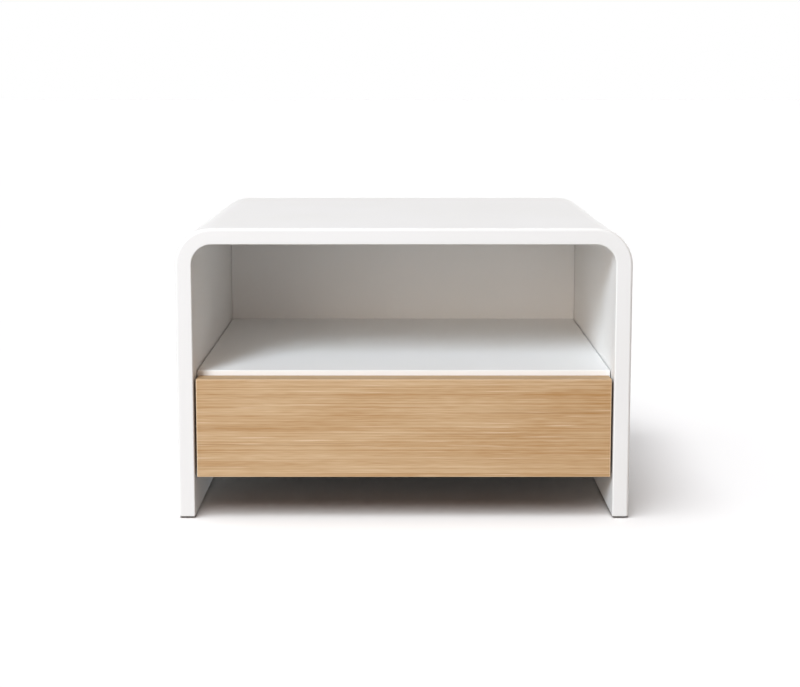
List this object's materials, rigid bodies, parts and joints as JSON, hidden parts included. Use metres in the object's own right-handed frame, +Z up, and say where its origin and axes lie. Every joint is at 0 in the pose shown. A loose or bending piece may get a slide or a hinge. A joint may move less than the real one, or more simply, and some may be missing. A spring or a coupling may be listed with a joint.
{
  "type": "bedside cabinet",
  "caption": "Low bedside cabinet: white lacquered waterfall shell with rounded corners, an open niche and shelf, and a handle-less oak-fronted drawer on ball slides.",
  "frame": {"origin": "middle of the footprint, on the floor", "axes": "+Z up, the drawer opens towards -Y, +X to the right of someone facing the drawer's back"},
  "size_m": [0.6, 0.4, 0.39],
  "materials": {
    "white_lacquer": "satin white lacquer on MDF",
    "oak_veneer": "matt oiled oak veneer, straight horizontal grain",
    "birch": "clear-lacquered birch plywood",
    "beech": "plain beech dowel",
    "zinc_steel": "bright zinc plate",
    "cam_zinc": "die-cast zinc",
    "ball_steel": "polished",
    "black_plastic": "moulded",
    "stop_rubber": "moulded",
    "bumper_soft": "clear soft"
  },
  "bodies": {
    "cabinet": {"top_panel": "white_lacquer", "corner_block_left": "white_lacquer", "corner_block_right": "white_lacquer", "side_panel_left": "white_lacquer", "side_panel_right": "white_lacquer", "shelf": "white_lacquer", "bottom_panel": "white_lacquer", "back_panel": "white_lacquer", "corner_dowels": "beech", "panel_dowels": "beech", "cam_bolts": "zinc_steel", "cam_discs": "cam_zinc", "back_screws": "zinc_steel", "glides": "black_plastic", "glide_nails": "zinc_steel", "drawer_bumpers": "bumper_soft", "cabinet_slide_left": "zinc_steel", "cabinet_slide_right": "zinc_steel", "slide_stops": "stop_rubber", "cabinet_slide_screws": "zinc_steel"},
    "drawer": {"drawer_front": "oak_veneer", "drawer_side_left": "birch", "drawer_side_right": "birch", "box_front": "birch", "box_back": "birch", "box_bottom": "birch", "box_dowels": "beech", "front_screws": "zinc_steel", "drawer_slide_left": "zinc_steel", "drawer_slide_right": "zinc_steel", "drawer_slide_screws": "zinc_steel"},
    "middle_left": {"middle_slide_left": "zinc_steel"},
    "outer_race_left": {"outer_cage_left": "black_plastic", "outer_balls_left": "ball_steel"},
    "inner_race_left": {"inner_cage_left": "black_plastic", "inner_balls_left": "ball_steel"},
    "middle_right": {"middle_slide_right": "zinc_steel"},
    "outer_race_right": {"outer_cage_right": "black_plastic", "outer_balls_right": "ball_steel"},
    "inner_race_right": {"inner_cage_right": "black_plastic", "inner_balls_right": "ball_steel"}
  },
  "joints": [
    {"name": "drawer_travel", "type": "slide", "parent": "cabinet", "child": "drawer", "axis": [0, -1, 0], "range_m": [0, 0.3]},
    {"name": "middle_travel_left", "type": "slide", "parent": "cabinet", "child": "middle_left", "axis": [0, -1, 0], "range_m": [0, 0.15]},
    {"name": "outer_race_travel_left", "type": "slide", "parent": "cabinet", "child": "outer_race_left", "axis": [0, -1, 0], "range_m": [0, 0.075]},
    {"name": "inner_race_travel_left", "type": "slide", "parent": "cabinet", "child": "inner_race_left", "axis": [0, -1, 0], "range_m": [0, 0.225]},
    {"name": "middle_travel_right", "type": "slide", "parent": "cabinet", "child": "middle_right", "axis": [0, -1, 0], "range_m": [0, 0.15]},
    {"name": "outer_race_travel_right", "type": "slide", "parent": "cabinet", "child": "outer_race_right", "axis": [0, -1, 0], "range_m": [0, 0.075]},
    {"name": "inner_race_travel_right", "type": "slide", "parent": "cabinet", "child": "inner_race_right", "axis": [0, -1, 0], "range_m": [0, 0.225]}
  ],
  "couplings": [
    {"joint": "middle_travel_left", "follows": "drawer_travel", "ratio": 0.5},
    {"joint": "outer_race_travel_left", "follows": "drawer_travel", "ratio": 0.25},
    {"joint": "inner_race_travel_left", "follows": "drawer_travel", "ratio": 0.75},
    {"joint": "middle_travel_right", "follows": "drawer_travel", "ratio": 0.5},
    {"joint": "outer_race_travel_right", "follows": "drawer_travel", "ratio": 0.25},
    {"joint": "inner_race_travel_right", "follows": "drawer_travel", "ratio": 0.75}
  ]
}
